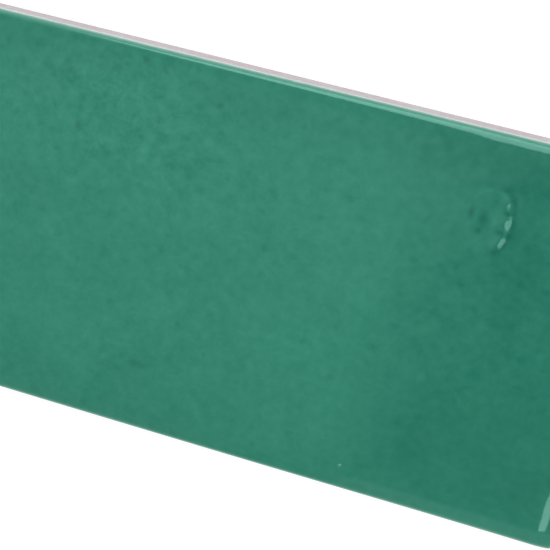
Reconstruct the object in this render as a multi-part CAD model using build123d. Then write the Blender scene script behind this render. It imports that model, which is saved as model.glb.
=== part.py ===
from build123d import *
import math
import os

# Glazed ceramic wall tile, pressed, glazed and fired as one piece.
# It lies on its keyed back, glazed face up. The origin is the middle of the back, on the plane of the ribs.
# X runs along the length, Y across the width and Z up through the thickness. Sizes are in millimetres.

# Overall size
length = 150.0
width = 75.0
thickness = 8.0

# Glazed rim: a gentle shoulder, and then a tight round down to the side
shoulder_width = 4.0
shoulder_drop = 0.7
rim_radius = 1.2
corner_ease = 0.15
corner_radius = rim_radius + corner_ease

# Rolls of the handmade-look face: half height, wavelength, heading and phase in degrees
face_rolls = (
    (0.080, 96.0, 14.0, 40.0),
    (0.050, 57.0, 71.0, 205.0),
    (0.030, 36.0, 128.0, 95.0),
)
roll_height = sum(roll[0] for roll in face_rolls)

# The glaze runs over the rim, stops part way down the side, and stands out a little past the bare biscuit
glaze_land = 0.9
glaze_lap = 0.2
rim_top = thickness - 2 * roll_height - shoulder_drop
glaze_line = rim_top - rim_radius - glaze_land

# Keyed back: a border and crossing ribs, with shallow pockets between them for the adhesive
key_border = 6.0
key_rib = 2.0
key_pitch = 18.0
key_depth = 0.8
key_draft = 20.0
key_corner = 1.5
back_chamfer = 0.5

# Spacing of the spline's points: on the open face in millimetres, and in from the outline in shoulder widths.
# The spline runs past the outline that it cuts.
station_pitch = 8.0
shoulder_stations = (0.0, 0.25, 0.5, 0.75, 1.0, 1.25, 1.75)
overrun = 1.5


def face_height(x, y):
    """Height of the glazed face over the plane of the ribs, before its edge is rounded."""
    z = thickness - roll_height
    for half_height, wavelength, heading, phase in face_rolls:
        turn = math.radians(heading)
        along = x * math.cos(turn) + y * math.sin(turn)
        z += half_height * math.cos(2 * math.pi * along / wavelength + math.radians(phase))
    for inset in (length / 2 - abs(x), width / 2 - abs(y)):
        z -= shoulder_drop * max(0.0, 1 - inset / shoulder_width) ** 2
    return z


def stations(half):
    """Places of the spline's points along one direction, closer together on the shoulders and beside them."""
    edge = [half + overrun] + [half - share * shoulder_width for share in shoulder_stations]
    inner = edge.pop()
    spaces = max(2, round(2 * inner / station_pitch))
    middle = [-inner + 2 * inner * i / spaces for i in range(spaces + 1)]
    return [-place for place in edge] + middle + edge[::-1]


def above_the_face():
    """Everything over the rolling face, as a solid that trims a flat blank to it."""
    points = [
        [Vector(x, y, face_height(x, y)) for y in stations(width / 2)]
        for x in stations(length / 2)
    ]
    face = Face.make_surface_from_array_of_points(points, tol=0.001, min_deg=3, max_deg=3)
    return extrude(face, amount=thickness, dir=(0, 0, 1))


def glazed_blank():
    """The pressed blank: the bare biscuit's sides below, and the glazed rim, which laps past them, above."""
    side = extrude(
        RectangleRounded(length - 2 * glaze_lap, width - 2 * glaze_lap, corner_radius - glaze_lap),
        amount=glaze_line,
    )
    side = chamfer(side.faces().sort_by(Axis.Z)[0].edges(), back_chamfer)
    rim = extrude(
        Pos(0, 0, glaze_line) * RectangleRounded(length, width, corner_radius),
        amount=thickness,
    )
    trimmed = side + (rim - above_the_face())
    return fillet(trimmed.faces().sort_by(Axis.Z)[-1].edges(), rim_radius)


def key_pockets():
    """The pockets of the keyed back, drafted like the punch that presses them."""
    room_x = length - 2 * (glaze_lap + key_border)
    room_y = width - 2 * (glaze_lap + key_border)
    count_x = max(1, round((room_x + key_rib) / key_pitch))
    count_y = max(1, round((room_y + key_rib) / key_pitch))
    pocket_x = (room_x + key_rib) / count_x - key_rib
    pocket_y = (room_y + key_rib) / count_y - key_rib
    mouth = RectangleRounded(pocket_x, pocket_y, key_corner)
    pocket = extrude(mouth, amount=key_depth, dir=(0, 0, 1), taper=key_draft)
    places = GridLocations(pocket_x + key_rib, pocket_y + key_rib, count_x, count_y)
    return [place * pocket for place in places]


def tile():
    """The whole tile, one solid."""
    solid = glazed_blank() - key_pockets()
    solid.label = "tile"
    return solid


if __name__ == "__main__":
    os.makedirs("parts", exist_ok=True)
    export_step(tile(), "parts/tile.step")
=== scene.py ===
import math

import bpy
import numpy as np
from mathutils import Matrix, Vector


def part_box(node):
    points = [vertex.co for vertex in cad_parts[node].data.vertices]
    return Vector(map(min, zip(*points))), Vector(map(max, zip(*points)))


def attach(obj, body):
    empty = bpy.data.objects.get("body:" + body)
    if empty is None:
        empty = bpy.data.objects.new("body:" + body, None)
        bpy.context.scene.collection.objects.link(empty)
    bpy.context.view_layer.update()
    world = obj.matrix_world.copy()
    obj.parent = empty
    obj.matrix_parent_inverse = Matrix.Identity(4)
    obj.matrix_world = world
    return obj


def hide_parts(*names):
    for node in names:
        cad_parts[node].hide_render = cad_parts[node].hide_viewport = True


# A glazed ceramic wall tile, lying face up on a plain white floor. The piece is one closed mesh that
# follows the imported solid, with the glaze's fine relief added. Lengths are in metres. MM turns a size in
# millimetres into metres.

MM = 0.001

# The photograph's camera, in the tile's own frame. Its picture is 550 pixels square.
CAMERA_PLACE = Vector((48.71, 84.83, 219.45)) * MM
CAMERA_TARGET = Vector((12.44, 2.03, 7.84)) * MM
CAMERA_ROLL = math.radians(-11.75)
FOCAL_PIXELS = 1252.5
PICTURE_PIXELS = 550.0
SENSOR_MM = 36.0

WHITE = (1.0, 1.0, 1.0, 1.0)

# Levels of the studio's light, where 1 is white: the even sky, the broad glow that the face mirrors, the
# glow past the front edge, the one near the horizon there, and the lamps
FILL_LEVEL = 0.35
VEIL_LEVEL = 0.5
FRONT_LEVEL = 0.5
LOW_LEVEL = 0.9
BOX_LEVEL = 3.7

# Colours as they look on a screen, 0 to 255: the glaze where it pools, where it is light, where it thins
# over the rim and at its milky lower edge, and the biscuit's patches and grain
GLAZE_DEEP = (19, 96, 78)
GLAZE_LIGHT = (44, 129, 106)
GLAZE_THIN = (74, 140, 121)
GLAZE_MILKY = (178, 201, 196)
BISCUIT_PINK = (201, 189, 193)
BISCUIT_GREY = (202, 197, 199)
BISCUIT_GRAIN = (176, 165, 168)

# What the mottle adds to the glaze's colour at full strength, and the tint of what the glaze mirrors, in
# linear light
MOTTLE_TINT = (0.036, 0.098, 0.075)
MIRROR_TINT = (0.53, 1.0, 0.86, 1.0)

# The glaze's roughness on the open face and round the blister, its index of refraction, and the biscuit's
# roughness
GLAZE_ROUGHNESS = 0.07
DULL_ROUGHNESS = 0.14
GLAZE_IOR = 1.56
BISCUIT_ROUGHNESS = 0.9

# The floor's grey for the light that it sends back to the tile, and for the rays that see the background:
# a darker one, with a glow added
FLOOR_GREY = 0.8
SEEN_GREY = 0.35
SEEN_GLOW = 0.72

# The tile's section, as in the solid
SHOULDER_WIDTH = 4.0 * MM
SHOULDER_DROP = 0.7 * MM
RIM_RADIUS = 1.2 * MM
CORNER_RADIUS = RIM_RADIUS + 0.15 * MM
GLAZE_LAND = 0.9 * MM
GLAZE_LAP = 0.2 * MM
BACK_CHAMFER = 0.5 * MM
THICKNESS = 8.0 * MM
FACE_ROLLS = (
    (0.080, 96.0, 14.0, 40.0),
    (0.050, 57.0, 71.0, 205.0),
    (0.030, 36.0, 128.0, 95.0),
)
ROLL_HEIGHT = sum(roll[0] for roll in FACE_ROLLS) * MM
RIM_TOP = THICKNESS - 2 * ROLL_HEIGHT - SHOULDER_DROP
GLAZE_LINE = RIM_TOP - RIM_RADIUS - GLAZE_LAND

# The keyed back, as in the solid
KEY_BORDER = 6.0 * MM
KEY_RIB = 2.0 * MM
KEY_COUNT = (8, 4)
KEY_DEPTH = 0.8 * MM
KEY_DRAFT = math.tan(math.radians(20.0))
KEY_CORNER = 1.5 * MM

# Edges that turn by more than this keep a crisp line in the shading
CRISP_ANGLE = math.radians(32)

# The blister in the glaze: a broken ring of low swells, and small beads on it. Its middle and radii are
# in millimetres. A swell has its direction from the middle and its spread in degrees, and its height in
# millimetres. A bead has its place from the middle, its radii and its height in millimetres.
BLISTER = (47.1, 22.44)
BLISTER_RADII = (4.3, 5.6)
BLISTER_SWELLS = (
    (3.0, 20.0, 0.150),
    (110.0, 35.0, 0.035),
    (190.0, 35.0, 0.045),
)
BLISTER_BEADS = (
    (2.35, 3.25, 0.50, 0.75, 0.080),
    (2.95, -2.95, 0.55, 0.50, 0.080),
    (2.45, -4.05, 0.62, 0.80, 0.098),
)

# The blister's painted light in the glaze's tone: painted shade in a dark halo round its right side, and a
# painted highlight in a pale arc on its top. Each has its place and its width as shares of the blister's
# radius, and its strength.
BLISTER_PAINTED_SHADE = (1.06, 0.11, 0.34)
BLISTER_PAINTED_HIGHLIGHT = (0.95, 0.06, 0.22)

# How far the glaze is duller round the blister, as a share of its radius
BLISTER_DULL = 1.3

# A small chip through the glaze's skin: middle, radii and depth in millimetres, its turn in degrees, and
# how thin the glaze is in it
NICK = (32.2, -32.05)
NICK_RADII = (0.42, 0.2)
NICK_DEPTH = 0.06
NICK_TURN = 35.0
NICK_THINNESS = 0.66

# A sag of the shoulder near the right corner, in millimetres: its depth, where it starts and ends along
# x, where it sets in along y, and how far its start moves on between two places along y
SAG_DEPTH = 0.045
SAG_START = 69.2
SAG_END = 73.0
SAG_SETS_IN = (-24.0, -28.5)
SAG_SHIFT = 1.8
SAG_SHIFTS = (-31.3, -34.0)

# Faint unevenness of the face, and the wander of the glaze's lower edge. Each layer has its height and
# wavelength in millimetres, and its seed.
UNEVENNESS = ((0.006, 9.0, 11), (0.003, 4.0, 12))
EDGE_WANDER = ((0.10, 11.0, 21), (0.05, 4.0, 22))

# How far the relief as a whole is set down to stay inside the solid's box, and how far in from the outline
# it has its full height, in millimetres
RELIEF_ROOM = 0.02
RELIEF_FADE = 2.0

# How thin the glaze is, from 0 to 1, at a few insets from the outline in millimetres
RIM_THINNESS = ((0.0, 0.52), (0.15, 0.44), (0.35, 0.37), (0.8, 0.18), (1.8, 0.0))

# The glaze's tone on the face, where 0 is deep and 1 is light: its level, one layer of noise with its
# strength, wavelength and seed, and where the glaze is deeper toward a side. Each of those has its depth
# of tone, and the two places between which it sets in along x and along y. Places are in millimetres.
TONE = 0.70
TONE_NOISE = (0.03, 16.0, 31)
TONE_STEPS = (
    (0.19, (24.0, 52.0), None),
    (0.15, (-20.0, 0.0), (24.0, 33.0)),
    (0.16, (-10.0, -24.0), (28.0, 36.0)),
    (0.05, (20.0, -5.0), (-26.0, -35.0)),
)

# Where the glaze pooled deeper on the face, or thinner where the depth is negative: middle and radii in
# millimetres, and depth of tone. The small ones are the pits in the blister, and a few specks. The long thin
# one, lighter along the front shoulder near the right end, is a painted reflection.
GLAZE_POOLS_AND_PAINTED_SHEEN = (
    (44.2, -24.0, 7.0, 6.0, 0.07),
    (70.0, -25.0, 6.0, 5.0, 0.06),
    (60.0, -1.0, 4.0, 4.0, -0.12),
    (58.0, 12.0, 6.0, 10.0, 0.06),
    (46.0, 31.0, 10.0, 7.0, 0.11),
    (29.0, 4.0, 7.0, 8.0, -0.07),
    (14.0, -6.0, 13.0, 11.0, -0.05),
    (33.5, 24.6, 9.0, 7.0, 0.07),
    (47.0, 5.0, 10.0, 8.0, 0.03),
    (22.0, -16.0, 10.0, 9.0, -0.09),
    (-16.8, 12.0, 4.0, 10.0, -0.08),
    (-31.0, -18.0, 8.0, 7.0, -0.12),
    (-36.8, 27.0, 3.5, 3.0, 0.18),
    # A painted reflection: a lighter band along the front shoulder near the right end
    (62.0, -36.0, 22.0, 3.5, -0.13),
    (44.0, 23.04, 0.5, 1.5, 0.55),
    (45.0, 22.74, 0.35, 1.3, -0.25),
    (46.4, 22.44, 0.7, 1.5, 0.48),
    (48.2, 22.64, 0.5, 1.3, -0.15),
    (50.0, 24.24, 0.8, 0.35, 0.55),
    (49.6, 20.64, 0.7, 0.45, 0.65),
    (46.0, 20.04, 0.5, 0.6, 0.60),
    (54.7, 16.8, 4.0, 5.0, 0.10),
    (-18.1, -13.6, 0.9, 9.0, 0.06),
    (-17.5, -25.2, 0.8, 0.6, 0.28),
    (-14.4, -25.3, 0.8, 0.9, 0.30),
    (-12.4, -25.6, 0.7, 0.6, 0.15),
    (-11.0, -23.5, 0.9, 0.7, 0.28),
    (-18.2, -20.6, 0.6, 2.5, 0.25),
    (-18.1, -15.9, 0.6, 1.3, -0.30),
    (-17.5, -23.6, 0.6, 0.5, -0.35),
    (-29.3, 20.0, 0.65, 0.65, 0.55),
    (-31.7, 30.1, 0.9, 1.0, 0.35),
    (-18.1, 35.1, 0.8, 0.7, 0.40),
    (-14.1, 25.4, 0.7, 0.7, 0.35),
    (-15.9, 18.9, 0.6, 0.6, -0.45),
    (-12.9, 35.5, 1.0, 1.0, 0.35),
    (-3.6, 30.5, 0.7, 0.6, 0.45),
)

# The glaze's fine mottle: its strength, where it is busiest and how much stronger it is there, and where
# it calms down along x and y, and by how much. Places are in millimetres.
MOTTLE = 0.5
BUSY_PLACE = (-22.0, 26.0)
BUSY_RADII = (26.0, 16.0)
BUSY_GAIN = 0.7
CALM_PLACE = ((10.0, 60.0), (5.0, -25.0))
CALM_LOSS = 0.35

# Spacing of the mesh's lines on the open face, and in millimetres at each mark: its middle, how far the
# close lines reach from it along x and y, and their spacing
FACE_PITCH = 0.6 * MM
MARKS = (
    (BLISTER, (6.5, 8.5), 0.26),
    (NICK, (1.0, 0.9), 0.12),
)


def rim_section():
    """Insets of the rim's lines from the outline, and how far the round lies under the shoulder's curve."""

    def shoulder(inset):
        return -SHOULDER_DROP * (1 - inset / SHOULDER_WIDTH) ** 2

    # The round touches the shoulder where the circle's centre stands one radius in from the outline
    touch = RIM_RADIUS
    for _ in range(40):
        slope = 2 * SHOULDER_DROP / SHOULDER_WIDTH * (1 - touch / SHOULDER_WIDTH)
        touch = RIM_RADIUS * (1 - slope / math.hypot(1, slope))
    centre = shoulder(touch) - RIM_RADIUS / math.hypot(1, slope)
    last = math.acos(1 - touch / RIM_RADIUS)
    steps = 13
    insets = [RIM_RADIUS * (1 - math.cos(last * i / steps)) for i in range(steps + 1)]
    under = []
    for inset in insets:
        rise = math.sqrt(max(0.0, RIM_RADIUS**2 - (RIM_RADIUS - inset) ** 2))
        under.append(shoulder(inset) - centre - rise)
    # Past the round, the lines spread out until they are a little beyond the shoulder
    step = 0.16 * MM
    growth = 1.12
    while insets[-1] < 1.2 * SHOULDER_WIDTH:
        insets.append(insets[-1] + step)
        under.append(0.0)
        step *= growth
    return np.array(insets), np.array(under)


def open_lines(half, edge, axis):
    """Lines across the open face between the rim's zones, closer together at each mark."""
    places = [-half + edge]
    while places[-1] < half - edge:
        pitch = FACE_PITCH
        for centre, reach, fine in MARKS:
            away = max(0.0, abs(places[-1] - centre[axis] * MM) - reach[axis] * MM)
            pitch = min(pitch, fine * MM + 0.25 * away)
        places.append(places[-1] + pitch)
    places = np.array(places)
    return -half + edge + (places + half - edge) * (2 * (half - edge)) / (places[-1] + half - edge)


def rounded_grid(half_x, half_y, insets):
    """The face's grid in plan, whose outer rings turn round the tile's corners, and each point's inset."""
    rim = len(insets) - 1
    edge = insets[-1]
    lines = []
    for axis, half in enumerate((half_x, half_y)):
        middle = open_lines(half, edge, axis)
        lines.append(np.concatenate([-half + insets[:-1], middle, (half - insets[:-1])[::-1]]))
    x, y = np.meshgrid(*lines, indexing="ij")
    steps_x = np.minimum(np.arange(x.shape[0]), np.arange(x.shape[0])[::-1])
    steps_y = np.minimum(np.arange(x.shape[1]), np.arange(x.shape[1])[::-1])
    inset = insets[np.minimum(np.minimum(steps_x[:, None], steps_y[None, :]), rim)]
    for a in range(rim):
        for b in range(rim):
            ring, far = min(a, b), max(a, b)
            start = insets[ring]
            radius = max(0.0, CORNER_RADIUS - start)
            straight = edge - start - radius
            way = (rim - far) / (rim - ring) * (straight + radius * math.pi / 4)
            along, across = edge - way, start
            if way > straight:
                turn = (way - straight) / radius
                along = CORNER_RADIUS - radius * math.sin(turn)
                across = CORNER_RADIUS - radius * math.cos(turn)
            inset_x, inset_y = (along, across) if a >= b else (across, along)
            for i, sx in ((a, -1), (-1 - a, 1)):
                for j, sy in ((b, -1), (-1 - b, 1)):
                    x[i, j] = sx * (half_x - inset_x)
                    y[i, j] = sy * (half_y - inset_y)
    return x, y, inset


def smooth_noise(x, y, wavelength, seed):
    """A seeded sum of waves near one wavelength, about -1 to 1."""
    rng = np.random.default_rng(seed)
    total = np.zeros_like(x)
    waves = 14
    for _ in range(waves):
        heading, phase = rng.uniform(0, 2 * math.pi, 2)
        length = wavelength * rng.uniform(0.7, 1.5)
        total += np.cos(2 * math.pi * (x * math.cos(heading) + y * math.sin(heading)) / length + phase)
    return total / math.sqrt(waves)


def smooth_step(value, low, high):
    """0 at low, 1 at high, with soft ends."""
    share = np.clip((value - low) / (high - low), 0, 1)
    return share * share * (3 - 2 * share)


def add_layers(values, x, y, layers):
    """Adds layers of noise to the values. A layer has its height, its wavelength and its seed."""
    for height, wavelength, seed in layers:
        values += height * MM * smooth_noise(x, y, wavelength * MM, seed)


def around_blister(x, y):
    """Distance from the blister's middle, as a share of its radius, and the direction in degrees."""
    u = (x / MM - BLISTER[0]) / BLISTER_RADII[0]
    v = (y / MM - BLISTER[1]) / BLISTER_RADII[1]
    return np.hypot(u, v), np.degrees(np.arctan2(v, u))


def blister(x, y):
    """A broken ring of low swells, steep on the outside and gentle inside, and the beads on it."""
    rho, turn = around_blister(x, y)
    ridge = smooth_step(rho, 1.0, 0.66) * smooth_step(rho, 0.15, 0.7)
    total = np.zeros_like(x)
    for heading, spread, height in BLISTER_SWELLS:
        away = (turn - heading + 180) % 360 - 180
        total += height * MM * ridge * np.exp(-((away / spread) ** 2))
    for dx, dy, rx, ry, height in BLISTER_BEADS:
        u, v = (x / MM - BLISTER[0] - dx) / rx, (y / MM - BLISTER[1] - dy) / ry
        total += height * MM * np.exp(-(u**2 + v**2) / 2)
    return total


def nick(x, y):
    """How deep the small chip is, from 0 to 1."""
    c, s = math.cos(math.radians(NICK_TURN)), math.sin(math.radians(NICK_TURN))
    dx, dy = x / MM - NICK[0], y / MM - NICK[1]
    u, v = (dx * c + dy * s) / NICK_RADII[0], (-dx * s + dy * c) / NICK_RADII[1]
    return np.exp(-((u**2 + v**2) ** 1.6))


def blister_painted_light(x, y):
    """How much lighter the blister's painted light makes the glaze's tone: a painted highlight on its top,
    and painted shade round its right side, where it is less than 0.
    """
    rho, turn = around_blister(x, y)
    away = np.abs(turn)
    place, spread, depth = BLISTER_PAINTED_SHADE
    # The painted shade stands a little farther out away from the blister's right side
    place = place + 0.08 * smooth_step(away, 20, 42)
    painted_shade = depth * np.exp(-(((rho - place) / spread) ** 2)) * smooth_step(away, 80, 55)
    place, spread, lift = BLISTER_PAINTED_HIGHLIGHT
    painted_highlight = lift * np.exp(-(((rho - place) / spread) ** 2)) * smooth_step(np.abs(turn - 95), 60, 30)
    return painted_highlight - painted_shade


def glaze_tone(x, y):
    """How light the glaze's tone is, on a large scale: deeper toward one end and in a few pools, with
    painted light round the blister and a painted reflection along the front shoulder.
    """
    strength, wavelength, seed = TONE_NOISE
    tone = TONE + strength * smooth_noise(x, y, wavelength * MM, seed)
    for depth, *places in TONE_STEPS:
        step = depth
        for value, place in zip((x, y), places):
            if place:
                step = step * smooth_step(value / MM, *place)
        tone -= step
    for cx, cy, rx, ry, depth in GLAZE_POOLS_AND_PAINTED_SHEEN:
        tone -= depth * np.exp(-(((x / MM - cx) / rx) ** 2) - ((y / MM - cy) / ry) ** 2)
    # Adds the painted highlight and painted shade round the blister
    return tone + blister_painted_light(x, y)


def glaze_mottle(x, y):
    """How strong the fine mottle is: most near one corner, least near the opposite one."""
    u, v = ((value / MM - middle) / radius for value, middle, radius in zip((x, y), BUSY_PLACE, BUSY_RADII))
    busy = np.exp(-(u**2) - v**2)
    calm = smooth_step(x / MM, *CALM_PLACE[0]) * smooth_step(y / MM, *CALM_PLACE[1])
    return MOTTLE * (1.0 + BUSY_GAIN * busy - CALM_LOSS * calm)


def face_height(x, y, half_x, half_y):
    """Height of the rolling face over the floor, with its shoulders, before the rim's round."""
    z = np.full_like(x, THICKNESS - ROLL_HEIGHT)
    for half_height, wavelength, heading, phase in FACE_ROLLS:
        turn = math.radians(heading)
        along = x * math.cos(turn) + y * math.sin(turn)
        z += half_height * MM * np.cos(2 * math.pi * along / (wavelength * MM) + math.radians(phase))
    for inset in (half_x - abs(x), half_y - abs(y)):
        z -= SHOULDER_DROP * np.maximum(0.0, 1 - inset / SHOULDER_WIDTH) ** 2
    return z


def sag(x, y):
    """How deep the shoulder sags near the right corner, from 0 to 1."""
    start = SAG_START + SAG_SHIFT * smooth_step(y / MM, *SAG_SHIFTS)
    return smooth_step((x / MM - start) / (SAG_END - start), 0, 1) * smooth_step(y / MM, *SAG_SETS_IN)


def relief(x, y):
    """The glaze's own fine relief: the blister, the nick, the sag and a faint unevenness."""
    z = blister(x, y) - NICK_DEPTH * MM * nick(x, y) - RELIEF_ROOM * MM
    z -= SAG_DEPTH * MM * sag(x, y)
    add_layers(z, x, y, UNEVENNESS)
    return z


def ring_of(shape):
    """Grid indices of the outline, once round."""
    rows, columns = shape
    ring = [(i, 0) for i in range(rows - 1)]
    ring += [(rows - 1, j) for j in range(columns - 1)]
    ring += [(i, columns - 1) for i in range(rows - 1, 0, -1)]
    ring += [(0, j) for j in range(columns - 1, 0, -1)]
    return np.array(ring)


def side_rings(top, lip):
    """The rings of the tile's side, from the round's foot down to the back, and the first bare one's number.

    A ring has its height, its inset and the glaze's thinness. The lip is the glaze's lower edge.
    """
    level = np.ones_like(top)
    drop = top - lip - 0.2 * MM
    rings = [
        (top - 0.35 * drop, 0.0, 0.55),
        (top - 0.7 * drop, 0.0, 0.85),
        (lip + 0.16 * MM, 0.0, 1.0),
        (lip + 0.05 * MM, 0.04 * MM, 1.0),
        (lip, 0.13 * MM, 1.0),
        (lip - 0.02 * MM, GLAZE_LAP, 1.0),
        (lip - 0.25 * MM, GLAZE_LAP, 1.0),
        (2.6 * MM * level, GLAZE_LAP, 1.0),
        ((BACK_CHAMFER + 0.1 * MM) * level, GLAZE_LAP, 1.0),
        ((BACK_CHAMFER - 0.06 * MM) * level, GLAZE_LAP + 0.04 * MM, 1.0),
        (0.05 * MM * level, GLAZE_LAP + BACK_CHAMFER - 0.06 * MM, 1.0),
        (0.0 * level, GLAZE_LAP + BACK_CHAMFER + 0.06 * MM, 1.0),
    ]
    return rings, 5


def tile_mesh(half_x, half_y, materials):
    """The tile as one closed mesh, without the pockets. Faces from the glaze's edge down are biscuit."""
    insets, under = rim_section()
    x, y, inset = rounded_grid(half_x, half_y, insets)
    drop = np.interp(inset, insets, under)
    fade = np.clip(inset / (RELIEF_FADE * MM), 0, 1)
    z = face_height(x, y, half_x, half_y) + relief(x, y) * fade - drop
    rows, columns = x.shape
    verts = [np.stack([x, y, z], -1).reshape(-1, 3)]
    thin = np.interp(inset, [place * MM for place, _ in RIM_THINNESS], [value for _, value in RIM_THINNESS])
    thin = [np.maximum(thin, NICK_THINNESS * nick(x, y)).reshape(-1)]
    number = np.arange(rows * columns).reshape(rows, columns)
    corners = (number[:-1, :-1], number[1:, :-1], number[1:, 1:], number[:-1, 1:])
    faces = [np.stack(corners, -1).reshape(-1, 4)]

    ring = ring_of(x.shape)
    rim = (ring[:, 0], ring[:, 1])
    outline = np.stack([x[rim], y[rim]], -1)
    core = np.array([half_x, half_y]) - CORNER_RADIUS
    out = outline - np.clip(outline, -core, core)
    out /= np.linalg.norm(out, axis=1, keepdims=True)
    lip = np.full(len(ring), GLAZE_LINE)
    add_layers(lip, *outline.T, EDGE_WANDER)
    side, biscuit_from = side_rings(z[rim], lip)
    upper = number[rim]
    kinds = [np.zeros(len(faces[0]), int)]
    for level, (height, back_off, thinness) in enumerate(side):
        lower = np.arange(len(ring)) + sum(len(part) for part in verts)
        verts.append(np.column_stack([outline - out * back_off, height]))
        thin.append(np.full(len(ring), thinness))
        faces.append(np.stack([upper, lower, np.roll(lower, -1), np.roll(upper, -1)], -1))
        kinds.append(np.full(len(ring), int(level >= biscuit_from)))
        upper = lower

    verts = np.concatenate(verts)
    polygons = np.concatenate(faces).tolist() + [upper[::-1].tolist()]
    mesh = bpy.data.meshes.new("tile_glazed")
    mesh.from_pydata(verts.tolist(), [], polygons)
    x, y, _ = verts.T
    looks = {
        "glaze_thinness": np.concatenate(thin),
        "glaze_mottle": glaze_mottle(x, y),
        # The tone holds painted light too: the blister's highlight and shade, and a reflection along the
        # front shoulder
        "glaze_tone": glaze_tone(x, y),
        "glaze_dullness": np.exp(-((around_blister(x, y)[0] / BLISTER_DULL) ** 6)),
    }
    for name, values in looks.items():
        mesh.attributes.new(name, "FLOAT", "POINT").data.foreach_set("value", values)
    for material in materials:
        mesh.materials.append(material)
    mesh.polygons.foreach_set("material_index", np.append(np.concatenate(kinds), 1).astype(np.int32))
    mesh.update()
    return mesh


def pocket_cutters(half_x, half_y, materials):
    """One mesh of all the pockets of the keyed back, drafted, with a soft mouth and floor."""
    sizes, places = [], []
    for half, count in zip((half_x, half_y), KEY_COUNT):
        pitch = (2 * (half - GLAZE_LAP - KEY_BORDER) + KEY_RIB) / count
        sizes.append((pitch - KEY_RIB) / 2)
        places.append([(i - (count - 1) / 2) * pitch for i in range(count)])
    # Height and outward offset of each ring of a pocket
    rings = [
        (-0.3 * MM, 0.45 * MM),
        (0.0, 0.12 * MM),
        (0.12 * MM, -0.02 * MM),
        (0.66 * MM, -0.66 * MM * KEY_DRAFT),
        (0.77 * MM, -0.36 * MM),
        (KEY_DEPTH, -0.55 * MM),
    ]
    verts, faces = [], []
    turns = 6
    for cx in places[0]:
        for cy in places[1]:
            previous = None
            for height, offset in rings:
                radius = KEY_CORNER + offset
                first = len(verts)
                for sx, sy, start in ((1, 1, 0), (-1, 1, 1), (-1, -1, 2), (1, -1, 3)):
                    for k in range(turns):
                        angle = (start + k / (turns - 1)) * math.pi / 2
                        px = cx + sx * (sizes[0] - KEY_CORNER) + radius * math.cos(angle)
                        py = cy + sy * (sizes[1] - KEY_CORNER) + radius * math.sin(angle)
                        verts.append((px, py, height))
                loop = list(range(first, first + 4 * turns))
                if previous is None:
                    faces.append(loop[::-1])
                else:
                    for k in range(len(loop)):
                        n = (k + 1) % len(loop)
                        faces.append((previous[k], previous[n], loop[n], loop[k]))
                previous = loop
            faces.append(previous)
    mesh = bpy.data.meshes.new("pockets")
    mesh.from_pydata(verts, [], faces)
    for material in materials:
        mesh.materials.append(material)
    mesh.polygons.foreach_set("material_index", np.ones(len(faces), np.int32))
    mesh.update()
    return mesh


def link(name, mesh):
    """The mesh as an object in the scene."""
    piece = bpy.data.objects.new(name, mesh)
    bpy.context.scene.collection.objects.link(piece)
    return piece


def tile_piece(half_x, half_y):
    """The finished tile: the closed mesh with the pockets cut into its back."""
    materials = (glaze_material(), biscuit_material())
    body = link("tile_body", tile_mesh(half_x, half_y, materials))
    cutters = link("pocket_cutters", pocket_cutters(half_x, half_y, materials))
    cut = body.modifiers.new("pockets", "BOOLEAN")
    cut.operation = "DIFFERENCE"
    cut.solver = "EXACT"
    cut.object = cutters
    bpy.context.view_layer.update()
    mesh = bpy.data.meshes.new_from_object(body.evaluated_get(bpy.context.evaluated_depsgraph_get()))
    for old in (body, cutters):
        bpy.data.objects.remove(old)
    mesh.name = "tile_glazed"
    mesh.shade_smooth()
    mesh.set_sharp_from_angle(angle=CRISP_ANGLE)
    return link("tile_glazed", mesh)


class Nodes:
    """A material's or world's node tree, with short ways to add and link nodes."""

    def __init__(self, tree):
        self.tree = tree
        tree.nodes.clear()

    def add(self, kind, inputs=None, **settings):
        """A node with its settings, and its inputs set to numbers or linked to other nodes' outputs."""
        made = self.tree.nodes.new(kind)
        for name, value in settings.items():
            setattr(made, name, value)
        for name, value in (inputs or {}).items():
            if isinstance(value, bpy.types.NodeSocket):
                self.tree.links.new(value, made.inputs[name])
            else:
                made.inputs[name].default_value = value
        return made

    def math(self, operation, first, second=0.0, clamp=False):
        """Two numbers or sockets put together by one operation."""
        inputs = {0: first, 1: second}
        return self.add("ShaderNodeMath", inputs, operation=operation, use_clamp=clamp).outputs[0]

    def noise(self, place, size, detail=2.0, rough=0.5, twist=0.0):
        """Noise whose features are about one size, in metres."""
        inputs = {"Vector": place, "Scale": 1 / size, "Detail": detail}
        inputs.update({"Roughness": rough, "Distortion": twist})
        return self.add("ShaderNodeTexNoise", inputs).outputs["Fac"]

    def spread(self, value, low, high, to_low=0.0, to_high=1.0):
        """A soft step from one level to another while the value goes from low to high."""
        inputs = {"Value": value, "From Min": low, "From Max": high, "To Min": to_low, "To Max": to_high}
        return self.add("ShaderNodeMapRange", inputs, interpolation_type="SMOOTHSTEP").outputs[0]

    def mix(self, share, first, second):
        """Two colours mixed: the first at share 0 and the second at share 1."""
        made = self.add("ShaderNodeMix", data_type="RGBA")
        for socket, value in zip((made.inputs[0], made.inputs[6], made.inputs[7]), (share, first, second)):
            if isinstance(value, bpy.types.NodeSocket):
                self.tree.links.new(value, socket)
            else:
                socket.default_value = value
        return made.outputs[2]


def colour(screen):
    """A colour written as it looks on a screen, 0 to 255, as the shader's linear values."""
    values = [value / 255 for value in screen]
    linear = [v / 12.92 if v <= 0.04045 else ((v + 0.055) / 1.055) ** 2.4 for v in values]
    return (*linear, 1.0)


def new_material(name):
    """An empty material, its nodes, and the place on the object that its patterns follow."""
    material = bpy.data.materials.new(name)
    material.use_nodes = True
    n = Nodes(material.node_tree)
    return material, n, n.add("ShaderNodeTexCoord").outputs["Object"]


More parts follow.
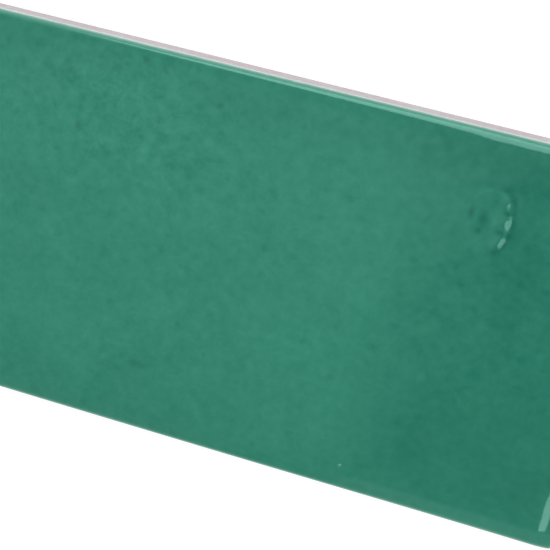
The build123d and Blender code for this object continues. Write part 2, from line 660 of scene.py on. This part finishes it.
def fine_mottle(n, place, busy):
    """The glaze's fine mottle, over 0 where it is lighter: soft blotches, dark specks and pale wisps."""
    blotch = n.math("SUBTRACT", n.noise(place, 1.8 * MM, 1.0, 0.5), 0.5)
    cloud = n.math("SUBTRACT", n.noise(place, 6.0 * MM, 2.0, 0.5), 0.5)
    speck = n.spread(n.noise(place, 2.7 * MM, 0.0), 0.70, 0.80, 0.0, 0.25)
    # A wisp follows the line where a twisted noise crosses its middle level
    ridge = n.math("ABSOLUTE", n.math("SUBTRACT", n.noise(place, 3.2 * MM, 1.0, 0.5, 0.6), 0.5))
    wisp = n.spread(ridge, 0.0, 0.05, 0.12, 0.0)
    soft = n.math("ADD", blotch, n.math("MULTIPLY", cloud, 0.7))
    mottle = n.math("SUBTRACT", soft, n.math("SUBTRACT", speck, wisp))
    # Crisper patches, only where the mottle is busy
    patch = n.spread(n.noise(place, 2.4 * MM, 1.0, 0.5, 0.9), 0.46, 0.54, -0.08, 0.08)
    mottle = n.math("ADD", mottle, n.math("MULTIPLY", patch, n.spread(busy, 0.5, 0.9)))
    return n.math("MULTIPLY", mottle, busy)


def glaze_material():
    """Green glaze: deep on the face, lighter where it thins over the rim, and milky at its lower edge."""
    material, n, place = new_material("green_glaze")
    names = ("thinness", "tone", "mottle", "dullness")
    looks = [n.add("ShaderNodeAttribute", attribute_name="glaze_" + name).outputs["Fac"] for name in names]
    thin, tone, busy, dull = looks

    # The tone brings in painted light: a highlight and shade round the blister, and a reflection along the
    # front shoulder
    face = n.mix(tone, colour(GLAZE_DEEP), colour(GLAZE_LIGHT))
    hazed = {0: fine_mottle(n, place, busy), 1: MOTTLE_TINT, 2: face}
    face = n.add("ShaderNodeVectorMath", hazed, operation="MULTIPLY_ADD").outputs[0]
    # The thinned glaze has an uneven edge
    uneven = n.math("MULTIPLY", n.math("SUBTRACT", n.noise(place, 1.6 * MM, 3.0), 0.5), 0.35)
    thinned = n.math("ADD", thin, n.math("MULTIPLY", uneven, n.spread(thin, 0.1, 0.5)), clamp=True)
    lighter = n.mix(n.spread(thinned, 0.05, 0.5), face, colour(GLAZE_THIN))
    milky = n.mix(n.spread(thinned, 0.5, 0.85), lighter, colour(GLAZE_MILKY))

    # The skin of the glaze: a faint peel, with finer ripples on it
    fine = n.noise(place, 0.5 * MM, 2.0, 0.6)
    peel = n.noise(place, 2.2 * MM, 2.0, 0.5)
    height = n.math("ADD", n.math("MULTIPLY", fine, 0.25), peel)
    bump = n.add("ShaderNodeBump", {"Strength": 0.12, "Distance": 0.05 * MM, "Height": height})
    inputs = {
        "Base Color": milky,
        "Roughness": n.spread(dull, 0.0, 1.0, GLAZE_ROUGHNESS, DULL_ROUGHNESS),
        "IOR": GLAZE_IOR,
        "Specular Tint": MIRROR_TINT,
        "Normal": bump.outputs["Normal"],
    }
    shader = n.add("ShaderNodeBsdfPrincipled", inputs)
    n.add("ShaderNodeOutputMaterial", {"Surface": shader.outputs["BSDF"]})
    return material


def biscuit_material():
    """The bare fired body: pale pinkish grey and matt, with a fine grain."""
    material, n, place = new_material("bare_biscuit")
    patches = n.spread(n.noise(place, 9 * MM, 3.0, 0.6), 0.35, 0.65)
    grain = n.spread(n.noise(place, 0.35 * MM, 3.0, 0.7), 0.3, 0.7)
    body = n.mix(patches, colour(BISCUIT_PINK), colour(BISCUIT_GREY))
    body = n.mix(n.math("MULTIPLY", grain, 0.35), body, colour(BISCUIT_GRAIN))
    bump = n.add("ShaderNodeBump", {"Strength": 0.5, "Distance": 0.05 * MM, "Height": grain})
    inputs = {
        "Base Color": body,
        "Roughness": BISCUIT_ROUGHNESS,
        "Specular IOR Level": 0.3,
        "Normal": bump.outputs["Normal"],
    }
    shader = n.add("ShaderNodeBsdfPrincipled", inputs)
    n.add("ShaderNodeOutputMaterial", {"Surface": shader.outputs["BSDF"]})
    return material


def background_rays(n):
    """Two values that are 1 for the rays that may see the white background: the camera's, and sent-on ones.

    A sent-on ray is one that a shiny or clear surface mirrors or lets through.
    """
    path = n.add("ShaderNodeLightPath").outputs
    return path["Is Camera Ray"], n.math("MAXIMUM", path["Is Glossy Ray"], path["Is Transmission Ray"])


def white_floor():
    """A plain white floor just under the tile. It is nearly white by itself, and shows a soft shadow."""
    reach = 1.5
    height = -0.02 * MM
    mesh = bpy.data.meshes.new("floor")
    signs = [(-1, -1), (1, -1), (1, 1), (-1, 1)]
    mesh.from_pydata([(reach * x, reach * y, height) for x, y in signs], [], [(0, 1, 2, 3)])
    floor = link("floor", mesh)
    material = bpy.data.materials.new("white_floor")
    material.use_nodes = True
    n = Nodes(material.node_tree)
    seen = n.math("MAXIMUM", *background_rays(n))
    lit, soft = [
        n.add("ShaderNodeBsdfDiffuse", {"Color": (grey, grey, grey, 1.0)}).outputs[0]
        for grey in (FLOOR_GREY, SEEN_GREY)
    ]
    glow = n.add("ShaderNodeEmission", {"Color": WHITE, "Strength": SEEN_GLOW}).outputs[0]
    shown = n.add("ShaderNodeAddShader", {0: soft, 1: glow}).outputs[0]
    mixed = n.add("ShaderNodeMixShader", {"Fac": seen, 1: lit, 2: shown}).outputs[0]
    n.add("ShaderNodeOutputMaterial", {"Surface": mixed})
    mesh.materials.append(material)


def white_world():
    """White where it shows past the floor, and otherwise an even sky with three soft glows."""
    world = bpy.data.worlds.new("studio")
    world.use_nodes = True
    bpy.context.scene.world = world
    n = Nodes(world.node_tree)
    toward = n.add("ShaderNodeTexCoord").outputs["Generated"]
    parts = n.add("ShaderNodeSeparateXYZ", {0: toward}).outputs
    direct, sent_on = background_rays(n)
    near_horizon = n.spread(parts["Z"], 0.03, 0.12, 1.0, 0.0)
    seen = n.math("MAXIMUM", direct, n.math("MULTIPLY", sent_on, near_horizon))
    # How far a direction leans from straight up, as a slope along each side of the tile
    lift = n.math("MAXIMUM", parts["Z"], 0.05)
    lean_x = n.math("DIVIDE", parts["X"], lift)
    lean_y = n.math("DIVIDE", parts["Y"], lift)

    # The broad glow that the face mirrors: it ends toward the tile's right end and its far edge
    slant = n.math("MULTIPLY", n.math("ADD", lean_y, 0.4), 0.25)
    side = n.spread(n.math("SUBTRACT", lean_x, slant), -0.10, 0.01, 1.0, 0.0)
    near = n.spread(lean_y, -0.7, -0.22, 0.35, 1.15)
    far = n.spread(n.math("ADD", lean_y, n.math("MULTIPLY", lean_x, 1.5)), -0.30, -0.12, 1.0, 0.7)
    far = n.math("MULTIPLY", far, n.spread(lean_y, 0.1, 0.4, 1.0, 0.0))
    veil = n.math("MULTIPLY", n.math("MULTIPLY", side, near), far)
    # The glow that the front shoulder mirrors, strongest toward the right end
    right = n.spread(lean_x, -0.13, -0.02, 0.2, 1.0)
    front = n.math("MULTIPLY", right, n.spread(lean_y, -0.78, -0.52, 1.0, 0.0))
    # The glow near the horizon, which the front rim's round mirrors
    horizon = n.spread(lean_y, -3.0, -1.2, LOW_LEVEL, 0.0)

    level = n.math("ADD", n.math("MULTIPLY", veil, VEIL_LEVEL), n.math("MULTIPLY", front, FRONT_LEVEL))
    level = n.math("ADD", n.math("ADD", level, horizon), FILL_LEVEL)
    sky = n.add("ShaderNodeBackground", {"Color": WHITE, "Strength": level}).outputs[0]
    background = n.add("ShaderNodeBackground", {"Color": WHITE, "Strength": 1.0}).outputs[0]
    mixed = n.add("ShaderNodeMixShader", {"Fac": seen, 1: sky, 2: background}).outputs[0]
    n.add("ShaderNodeOutputWorld", {"Surface": mixed})


def soft_box(name, aim, lean_x, lean_y, distance, size, level, spin):
    """A rectangular lamp that faces a point of the tile, given in millimetres.

    It leans from straight above that point by two angles, and is spun in its own plane, all in degrees.
    Its distance and its size are in metres, and its level is 1 for white.
    """
    slopes = [math.tan(math.radians(lean)) for lean in (lean_x, lean_y)]
    toward = Vector((*slopes, 1.0)).normalized()
    lamp = bpy.data.lights.new(name, "AREA")
    lamp.shape = "RECTANGLE"
    lamp.size, lamp.size_y = size
    lamp.energy = level * math.pi * size[0] * size[1]
    placed = bpy.data.objects.new(name, lamp)
    bpy.context.scene.collection.objects.link(placed)
    across = Vector((1, 0, 0)) - toward * toward.x
    across.normalize()
    turned = Matrix((across, toward.cross(across), toward)).transposed()
    turned = turned @ Matrix.Rotation(math.radians(spin), 3, "Z")
    placed.matrix_world = Matrix.Translation(Vector(aim) * MM + toward * distance) @ turned.to_4x4()


def photo_camera():
    """The photograph's camera, looking down on the tile."""
    back = (CAMERA_PLACE - CAMERA_TARGET).normalized()
    up = (Vector((0, 1, 0)) - back * back.y).normalized()
    up = Matrix.Rotation(CAMERA_ROLL, 3, -back) @ up
    data = bpy.data.cameras.new("camera")
    data.sensor_width = SENSOR_MM
    data.lens = SENSOR_MM * FOCAL_PIXELS / PICTURE_PIXELS
    data.clip_start = 0.01
    camera = bpy.data.objects.new("camera", data)
    bpy.context.scene.collection.objects.link(camera)
    turned = Matrix((up.cross(back), up, back)).transposed()
    camera.matrix_world = Matrix.Translation(CAMERA_PLACE) @ turned.to_4x4()
    bpy.context.scene.camera = camera


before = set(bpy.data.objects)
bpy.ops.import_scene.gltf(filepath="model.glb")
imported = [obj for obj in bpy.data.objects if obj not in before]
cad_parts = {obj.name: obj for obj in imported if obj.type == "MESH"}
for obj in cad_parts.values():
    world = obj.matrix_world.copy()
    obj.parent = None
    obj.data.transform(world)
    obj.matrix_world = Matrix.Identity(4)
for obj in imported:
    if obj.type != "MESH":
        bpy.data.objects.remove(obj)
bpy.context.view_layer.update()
low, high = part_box("tile")

tile = tile_piece((high[0] - low[0]) / 2, (high[1] - low[1]) / 2)
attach(tile, "root")
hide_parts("tile")

white_floor()
white_world()
# A window past the far edge, and a strip past the right end, which the rounded edges mirror as lines
soft_box("key_window", (0, 0, 0), 2.7, 48.6, distance=0.7, size=(0.375, 0.875), level=BOX_LEVEL, spin=24.5)
soft_box("side_strip", (72, -28, 8), 13.0, -19.1, distance=0.8, size=(0.155, 0.325), level=BOX_LEVEL, spin=2)
photo_camera()

bpy.context.scene.view_settings.view_transform = "Standard"
